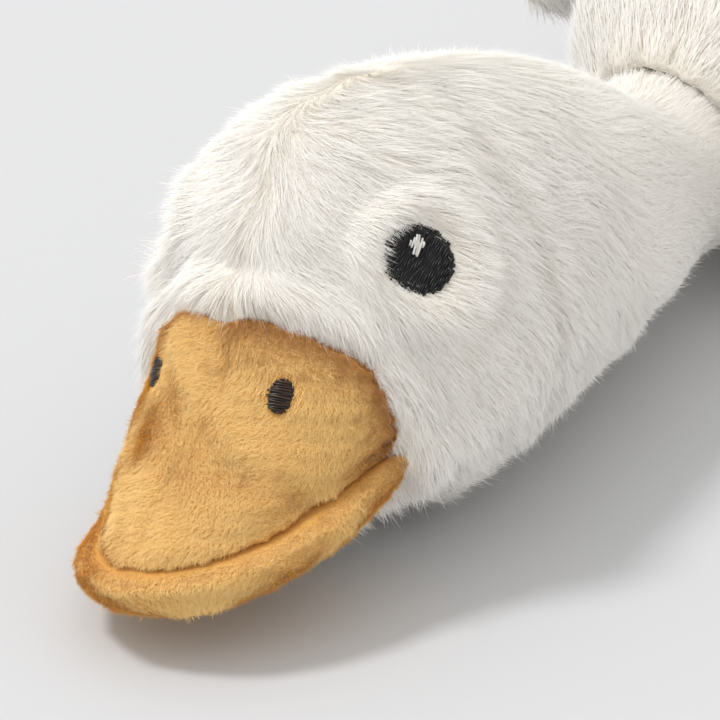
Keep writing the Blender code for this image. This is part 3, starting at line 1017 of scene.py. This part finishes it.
def head_cloth(settings):
    """The head's cloth, and the shares of its pile that grow on the left and at the front."""
    mesh = even_mesh("head", HEAD_VOXEL, SOFT_ROUNDS)
    places, facing = arrays_of(mesh)
    own = to_head(places)
    x, y, z = own.T
    beakward = nearest_on(["beak_upper", "beak_lower"], places) - places
    to_beak = np.linalg.norm(beakward, axis=1)
    to_beak *= 1 - np.maximum(within(["beak_upper"], places), within(["beak_lower"], places))
    to_rest = distance_to(["body"], places)
    neck = ramp(y, 15 * MM, 85 * MM)
    tufty = 1 - 0.85 * ramp(y, 5 * MM, 45 * MM)
    off_seam = off_head_seam(mesh, own, neck)
    flow = head_flow(own, turned(facing, -HEAD_LEAN, "Y"), off_seam, neck, tufty)
    flow += 0.7 * unit(beakward) * fading(to_beak, 3.5 * MM)[:, None]

    length = np.full(len(places), settings.length)
    length = np.minimum(length, 4.5 * MM + 0.5 * to_beak)
    thick = ramp(np.minimum(to_beak, to_rest), 0.45 * MM, 0.9 * MM) * underside(facing)
    thick *= 1 - 0.35 * ramp(y, 20 * MM, 60 * MM)
    eyes = np.full(len(places), 1.0)
    for node in ("eye_left", "eye_right"):
        length, bare, distance = eye_cover(places, flow, node, length)
        thick *= bare
        eyes = np.minimum(eyes, distance)

    # The cloth sinks under its pile, but not beside the beak, the body and the eyes. It stands proud
    # in a ring round each eye and in a roll round the beak, and is a little lumpy.
    seam = bell(off_seam, 1.2 * MM) * ramp(-y, -16 * MM, 5 * MM) * ramp(z, 10 * MM, 22 * MM)
    past_eyes = ramp(eyes, 9 * MM, 17 * MM)
    near_rest = ramp(to_rest, 0.5 * MM, 9 * MM)
    depth = settings.cloth_depth * past_eyes * ramp(to_beak, 0.5 * MM, 9 * MM) * near_rest
    depth += 0.3 * MM * seam - 1.4 * MM * bell(eyes, 3 * MM, 10.5 * MM)
    depth += waves(own, 15 * MM, 0.5 * MM, 12)[:, 0] * near_rest * past_eyes * tufty
    depth -= settings.roll * bell(to_beak, 3.2 * MM, 4.5 * MM)
    places, facing = sunk(mesh, places, facing, depth)

    # The pile is darker along the seam, has painted shade round the eyes, and is steeper beside the eyes
    # and the beak
    pale = 0.94 - 0.22 * seam - 0.25 * bell(eyes, 5 * MM, 6 * MM)
    pale -= 0.16 * ramp(waves(own, 9 * MM, 1.0, 15)[:, 0], 0.2, 1.4) * tufty
    rise = settings.rise * (1 + 1.4 * bell(eyes, 3 * MM, 8 * MM)) * (1 + fading(to_beak, 4 * MM))
    grow_marks(mesh, places, facing, flow, length, rise, thick, pale)
    return mesh, half(x), half(10 * MM - y)


def body_cloth(settings):
    """The body's cloth, and the share of its pile that grows on the left."""
    mesh = even_mesh("body", BODY_VOXEL, SOFT_ROUNDS)
    places, facing = arrays_of(mesh)
    near = distance_to(["head", "wing_left", "wing_right", "tail", "foot_left", "foot_right"], places)
    own = to_body(places)
    x, y, _ = own.T
    flow = columns(0.25 * np.tanh(x / (20 * MM)), 0.9, 0.55 - 0.9 * ramp(y, 5 * MM, 80 * MM))
    flow = from_body(flow + waves(own, 55 * MM, 0.22, 6))
    thick = sewn_in(near) * underside(facing)
    places, facing = sunk(mesh, places, facing, settings.cloth_depth * ramp(near, 0.5 * MM, 9 * MM))
    grow_marks(mesh, places, facing, flow, settings.length, settings.rise, thick, BODY_PALE)
    return mesh, half(x)


def limb_cloth(node, voxel, settings, way):
    """Cloth of a wing, the tail or a foot, whose pile runs one way in the body's frame."""
    mesh = even_mesh(node, voxel, SOFT_ROUNDS)
    places, facing = arrays_of(mesh)
    near = distance_to(["body"], places)
    own = to_body(places)
    spread = own - own.mean(axis=0)
    flow = np.array(way) + spread / np.abs(spread).max() * 0.35
    flow = from_body(flow + waves(own, 45 * MM, 0.2, 8))
    thick = sewn_in(near) * underside(facing)
    places, facing = sunk(mesh, places, facing, settings.cloth_depth * ramp(near, 0.5 * MM, 6 * MM))
    grow_marks(mesh, places, facing, flow, settings.length, settings.rise, thick, BODY_PALE)
    return mesh


def beak_cloth(node, other, settings):
    """Cloth of one half of the beak, with its nap and, on the upper half, its seam and fold."""
    mesh = even_mesh(node, BEAK_VOXEL, BEAK_SOFT_ROUNDS)
    places, facing = arrays_of(mesh)
    to_face = distance_to(["head"], places)
    to_other = distance_to([other], places)
    own_x = to_head(places)[:, 0]
    flow = from_head(columns(0.25 * np.tanh(own_x / (8 * MM)), -1.0, -0.1))
    flow += waves(places, 16 * MM, 0.5, 9)
    nap = ramp(waves(places, 4.5 * MM, 1.0, 16)[:, 0], -0.2, 1.3)
    thick = ramp(np.minimum(to_face, to_other), 0.5 * MM, 1.1 * MM)
    if node == "beak_lower":
        thick *= 0.75 * underside(facing)
    # Painted shade: the pile is darker in the crease where the two halves meet and beside the head. The nap
    # mottles it at random.
    pale = 0.98 - 0.35 * fading(to_other, 1.2 * MM) - 0.5 * fading(to_face, 3 * MM) - 0.25 * nap
    depth = settings.cloth_depth * ramp(to_other, 0.4 * MM, 2.5 * MM)
    depth += waves(places, 5 * MM, 0.22 * MM, 14)[:, 0] * ramp(to_other, 0.5 * MM, 3 * MM)
    if node == "beak_upper":
        seam = bell(distance_to_line(places, seen_at(mesh, BEAK_SEAM)), 1.3 * MM)
        fold = bell(distance_to_line(places, seen_at(mesh, BEAK_FOLD)), 3.0 * MM)
        painted_shadow_lobe = ramp(own_x, -4 * MM, 8 * MM)
        depth += 0.7 * MM * seam + 1.5 * MM * fold
        # Painted shade along the fold, and a painted shadow of the head's edge over the left lobe beside
        # the head. The seam is a little darker too.
        pale -= 0.15 * seam + 0.25 * fold + 0.75 * painted_shadow_lobe * bell(to_face, 6 * MM)
    length = np.minimum(settings.length, 0.5 * MM + 0.6 * np.minimum(to_other, to_face))
    places, facing = sunk(mesh, places, facing, depth)
    grow_marks(mesh, places, facing, flow, length, settings.rise, thick, pale)
    if node == "beak_upper":
        nostril_bare(mesh)
    return mesh


def nostril_bare(mesh):
    """Thins the beak's pile under the nostrils."""
    places, _ = arrays_of(mesh)
    thick = stored(mesh, "thick")
    length = stored(mesh, "length")
    for node in ("nostril_left", "nostril_right"):
        near = distance_to([node], places)
        thick *= ramp(near, 0.8 * MM, 1.6 * MM)
        length = np.minimum(length, 1.0 * MM + 0.8 * near)
    store(mesh, "thick", thick)
    store(mesh, "length", length)


def stitched(
    name, node, colour, settings, tilt, in_row, rows, ragged, fill=1.0, slim=False, ground_share=1.0
):
    """Embroidery over one CAD patch. The tilt turns the thread from level, seen from outside, or on a slim
    patch from straight across it. The ground shows over a share of the patch."""
    ground = cad_copy(node)
    places, _ = arrays_of(ground)
    middle = places.mean(axis=0)
    flat = places - middle
    _, _, (_, narrow, thin) = np.linalg.svd(flat, full_matrices=False)
    carrier = "beak_upper" if node.startswith("nostril") else "head"
    outward = Vector(thin if thin @ (middle - middle_of(carrier)) > 0 else -thin).normalized()
    level = Vector((0, 0, 1)).cross(outward).normalized()
    short = Vector(narrow if narrow @ np.array(level) > 0 else -narrow)
    along = Matrix.Rotation(tilt, 3, outward) @ (short if slim else level)
    across = outward.cross(along)
    set_places(ground, middle + flat * fill - np.array(outward) * settings.ground_depth)
    store(ground, "shade", np.full(len(places), GROUND_SHADE))
    store(ground, "along", np.full(len(places), GROUND_ALONG))
    ground.shade_smooth()
    obj = run_tree(
        name,
        ground,
        tree_named("Stitches", stitch_tree),
        {
            "Middle": tuple(middle),
            "Along": tuple(along),
            "Across": tuple(across),
            "Outward": tuple(outward),
            "Half length": np.abs(flat @ np.array(short if slim else along)).max() * fill,
            "Half width": np.abs(flat @ np.array(across)).max() * fill,
            "Rows": rows,
            "Stitches in a row": in_row,
            "Thread": settings.thread,
            "Ragged": ragged,
            "Ground share": ground_share,
            "Seed": settings.seed,
            "Material": material(colour + " thread"),
        },
    )
    bpy.data.meshes.remove(ground)
    mesh = obj.data
    mesh.materials.clear()
    mesh.materials.append(material(colour + " thread"))
    mesh.shade_smooth()
    drop(mesh, "shade", "along")
    declare(obj, node)


# Settings


def size_of(name, description, default):
    return bpy.props.FloatProperty(name=name, description=description, default=default, unit="LENGTH")


def angle_of(name, description, degrees):
    return bpy.props.FloatProperty(
        name=name, description=description, default=math.radians(degrees), subtype="ANGLE"
    )


def share_of(name, description, default):
    return bpy.props.FloatProperty(name=name, description=description, default=default)


def seed_of(description, default):
    return bpy.props.IntProperty(name="Seed", description=description, default=default)


def pile_settings(name, length, width, per_mm2, tuft, rise, depth, crispness, seed, unruly=0.2, roll=0.0):
    """A property group for one kind of pile, with these defaults."""
    notes = {
        "length": size_of("Length", "Length of a strand", length),
        "width": size_of("Width", "Width of a strand at its root", width),
        "per_mm2": share_of("Strands per mm2", "How thickly the strands stand", per_mm2),
        "tuft": size_of("Tuft", "Size of a tuft", tuft),
        "pull": share_of("Tuft pull", "How far tips draw together", 0.9),
        "unruly": share_of("Unruly", "How far strands stray from the nap", unruly),
        "stray": share_of("Stray lift", "How much higher the odd strand stands", 2.0),
        "rise": share_of("Rise", "Height of a strand as a share of its length", rise),
        "cloth_depth": size_of("Cloth depth", "Depth of the cloth under the CAD surface", depth),
        "crispness": share_of("Crispness", "How far each strand is shaded on its own", crispness),
        "roll": size_of("Roll", "How far the edge stands proud round the beak", roll),
        "seed": seed_of("Seed of the pile", seed),
    }
    return type(name, (bpy.types.PropertyGroup,), {"__annotations__": notes})


HeadPile = pile_settings(
    "GooseHeadPile", length=7.2 * MM, width=0.10 * MM, per_mm2=8.8, tuft=2.4 * MM, rise=0.16,
    depth=2.0 * MM, crispness=0.25, seed=11, roll=2.2 * MM
)
BodyPile = pile_settings(
    "GooseBodyPile", length=10 * MM, width=0.27 * MM, per_mm2=1.8, tuft=3.0 * MM, rise=0.15,
    depth=2.4 * MM, crispness=0.25, seed=21
)
LimbPile = pile_settings(
    "GooseLimbPile", length=9 * MM, width=0.27 * MM, per_mm2=1.8, tuft=3.0 * MM, rise=0.15,
    depth=2.0 * MM, crispness=0.25, seed=31
)
BeakPile = pile_settings(
    "GooseBeakPile", length=1.25 * MM, width=0.105 * MM, per_mm2=34.0, tuft=1.0 * MM, rise=0.5,
    depth=0.5 * MM, crispness=2.0, seed=41, unruly=0.4
)
FootPile = pile_settings(
    "GooseFootPile", length=2.2 * MM, width=0.26 * MM, per_mm2=3.2, tuft=1.5 * MM, rise=0.45,
    depth=0.9 * MM, crispness=2.0, seed=51
)


class GooseThread(bpy.types.PropertyGroup):
    """The embroidery."""

    thread: size_of("Thread", "Thickness of the thread", 0.42 * MM)
    ground_depth: size_of("Ground depth", "How far the ground lies under the stitches", 0.9 * MM)
    seed: seed_of("Seed of the stitches", 61)


class GooseStage(bpy.types.PropertyGroup):
    """Floor, light and camera."""

    key_strength: share_of("Key", "Strength of the key light", 1.5)
    key_azimuth: angle_of("Key azimuth", "Where the key light stands, from the beak round to the left", -62)
    key_elevation: angle_of("Key elevation", "Height of the key light", 62)
    key_spread: angle_of("Key spread", "Angle that the key light fills", 12)
    fill_strength: share_of("Fill", "Strength of the light from all round", 0.7)
    overhead_strength: share_of("Overhead", "How much stronger the light is from straight above", 0.28)


# Operators


class GOOSE_OT_head(bpy.types.Operator):
    """Cloth and pile of the head and neck"""

    bl_idname = "goose.head"
    bl_label = "Head and neck"

    def execute(self, context):
        settings = context.scene.goose_head_pile
        cloth, left, front = head_cloth(settings)
        shares = {}
        for side, on_side in (("left", left), ("right", 1 - left)):
            for end, at_end in (("front", front), ("back", 1 - front)):
                shares[f"_{side}_{end}"] = on_side * at_end
        cover("head", cloth, settings, "white", shares=shares)
        return {"FINISHED"}


class GOOSE_OT_body(bpy.types.Operator):
    """Cloth and pile of the chest and belly"""

    bl_idname = "goose.body"
    bl_label = "Body"

    def execute(self, context):
        settings = context.scene.goose_body_pile
        cloth, left = body_cloth(settings)
        shares = {"_left": left, "_right": 1 - left}
        cover("body", cloth, settings, "white", shares=shares)
        return {"FINISHED"}


class GOOSE_OT_wings(bpy.types.Operator):
    """Cloth and pile of the wings and tail"""

    bl_idname = "goose.wings"
    bl_label = "Wings and tail"

    def execute(self, context):
        settings = context.scene.goose_limb_pile
        for node, way in (
            ("wing_left", (0.1, 1.0, -0.35)),
            ("wing_right", (-0.1, 1.0, -0.35)),
            ("tail", (0.0, 1.0, 0.2)),
        ):
            cover(node, limb_cloth(node, LIMB_VOXEL, settings, way), settings, "white")
        return {"FINISHED"}


class GOOSE_OT_beak(bpy.types.Operator):
    """Cloth and pile of the beak"""

    bl_idname = "goose.beak"
    bl_label = "Beak"

    def execute(self, context):
        settings = context.scene.goose_beak_pile
        for node, other in (("beak_upper", "beak_lower"), ("beak_lower", "beak_upper")):
            cover(node, beak_cloth(node, other, settings), settings, "mustard")
        return {"FINISHED"}


class GOOSE_OT_feet(bpy.types.Operator):
    """Cloth and pile of the feet"""

    bl_idname = "goose.feet"
    bl_label = "Feet"

    def execute(self, context):
        settings = context.scene.goose_foot_pile
        for node in ("foot_left", "foot_right"):
            cloth = limb_cloth(node, FOOT_VOXEL, settings, (0.0, 1.0, -0.2))
            cover(node, cloth, settings, "mustard")
        return {"FINISHED"}


class GOOSE_OT_embroidery(bpy.types.Operator):
    """Eyes, glints and nostrils"""

    bl_idname = "goose.embroidery"
    bl_label = "Embroidery"

    def execute(self, context):
        settings = context.scene.goose_thread
        for side in ("left", "right"):
            stitched(
                f"eye_thread_{side}", f"eye_{side}", "black", settings,
                tilt=math.radians(48), in_row=4, rows=31, ragged=0.35 * MM
            )
            stitched(
                f"glint_thread_{side}", f"eye_glint_{side}", "white", settings,
                tilt=math.radians(62), in_row=1, rows=6, ragged=0.5 * MM, ground_share=0.5
            )
            stitched(
                f"nostril_thread_{side}", f"nostril_{side}", "brown", settings,
                tilt=math.radians(18), in_row=1, rows=14, ragged=0.25 * MM, fill=0.92, slim=True
            )
        return {"FINISHED"}


class GOOSE_OT_stage(bpy.types.Operator):
    """Floor, light and camera"""

    bl_idname = "goose.stage"
    bl_label = "Floor, light and camera"

    def execute(self, context):
        settings = context.scene.goose_stage
        scene = context.scene
        self.add_floor(scene)
        self.add_light(scene, settings)
        self.add_world(scene, settings)
        self.add_camera(scene)
        scene.view_settings.view_transform = "Standard"
        return {"FINISHED"}

    def add_floor(self, scene):
        bm = bmesh.new()
        bmesh.ops.create_circle(bm, cap_ends=True, segments=FLOOR_CORNERS, radius=FLOOR_RADIUS)
        mesh = bpy.data.meshes.new("floor")
        bm.to_mesh(mesh)
        bm.free()
        floor = bpy.data.objects.new("floor", mesh)
        scene.collection.objects.link(floor)
        made, _, _ = new_material(
            "pale floor", Base_Color=FLOOR_COLOUR, Roughness=0.7, Specular_IOR_Level=0.2
        )
        mesh.materials.append(made)

    def add_light(self, scene, settings):
        data = bpy.data.lights.new("key", "SUN")
        data.energy = settings.key_strength
        data.angle = settings.key_spread
        key = bpy.data.objects.new("key", data)
        towards = from_angles(settings.key_azimuth, settings.key_elevation)
        key.rotation_euler = towards.to_track_quat("Z", "Y").to_euler()
        scene.collection.objects.link(key)

    def add_world(self, scene, settings):
        """Even light that is stronger from above, and a plain backdrop for what looks at it directly."""
        world = bpy.data.worlds.new("studio")
        world.use_nodes = True
        tree = world.node_tree
        tree.nodes.clear()
        seen = add_node(tree, "ShaderNodeLightPath").outputs
        shown = greater(seen["Is Glossy Ray"], seen["Is Transmission Ray"])
        shown = greater(seen["Is Camera Ray"], shown)
        way = parts_of(add_node(tree, "ShaderNodeTexCoord").outputs["Generated"])
        height = greater(way["Z"], 0.0)
        strength = times_plus(height, settings.overhead_strength, settings.fill_strength)
        light = add_node(tree, "ShaderNodeBackground", {"Color": SKY_COLOUR, "Strength": strength})
        backdrop = add_node(tree, "ShaderNodeBackground", {"Color": BACKDROP_COLOUR, "Strength": 1.0})
        either = add_node(tree, "ShaderNodeMixShader", {0: shown, 1: out(light), 2: out(backdrop)})
        world_out = add_node(tree, "ShaderNodeOutputWorld")
        tree.links.new(out(either), world_out.inputs["Surface"])
        scene.world = world

    def add_camera(self, scene):
        _, _, back, eye, _ = photo_view()
        data = bpy.data.cameras.new("camera")
        data.lens = CAMERA_LENS
        data.clip_start = 0.01
        camera = bpy.data.objects.new("camera", data)
        camera.location = eye
        camera.rotation_euler = back.to_track_quat("Z", "Y").to_euler()
        scene.collection.objects.link(camera)
        scene.camera = camera


OPERATORS = (
    GOOSE_OT_stage,
    GOOSE_OT_head,
    GOOSE_OT_body,
    GOOSE_OT_wings,
    GOOSE_OT_beak,
    GOOSE_OT_feet,
    GOOSE_OT_embroidery,
)


class GOOSE_PT_panel(bpy.types.Panel):
    """Buttons for the goose's pieces"""

    bl_idname = "GOOSE_PT_panel"
    bl_label = "Plush goose"
    bl_space_type = "VIEW_3D"
    bl_region_type = "UI"
    bl_category = "Goose"

    def draw(self, context):
        for operator in OPERATORS:
            self.layout.operator(operator.bl_idname)


GROUPS = {
    "goose_head_pile": HeadPile,
    "goose_body_pile": BodyPile,
    "goose_limb_pile": LimbPile,
    "goose_beak_pile": BeakPile,
    "goose_foot_pile": FootPile,
    "goose_thread": GooseThread,
    "goose_stage": GooseStage,
}


def register():
    for name, group in GROUPS.items():
        bpy.utils.register_class(group)
        setattr(bpy.types.Scene, name, bpy.props.PointerProperty(type=group))
    for operator in OPERATORS:
        bpy.utils.register_class(operator)
    bpy.utils.register_class(GOOSE_PT_panel)


def unregister():
    bpy.utils.unregister_class(GOOSE_PT_panel)
    for operator in reversed(OPERATORS):
        bpy.utils.unregister_class(operator)
    for name, group in reversed(GROUPS.items()):
        delattr(bpy.types.Scene, name)
        bpy.utils.unregister_class(group)


def main():
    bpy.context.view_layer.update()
    register()
    for operator in OPERATORS:
        family, name = operator.bl_idname.split(".")
        if getattr(getattr(bpy.ops, family), name)() != {"FINISHED"}:
            raise RuntimeError(f"{operator.bl_idname} didn't finish")


if __name__ == "__main__":
    main()
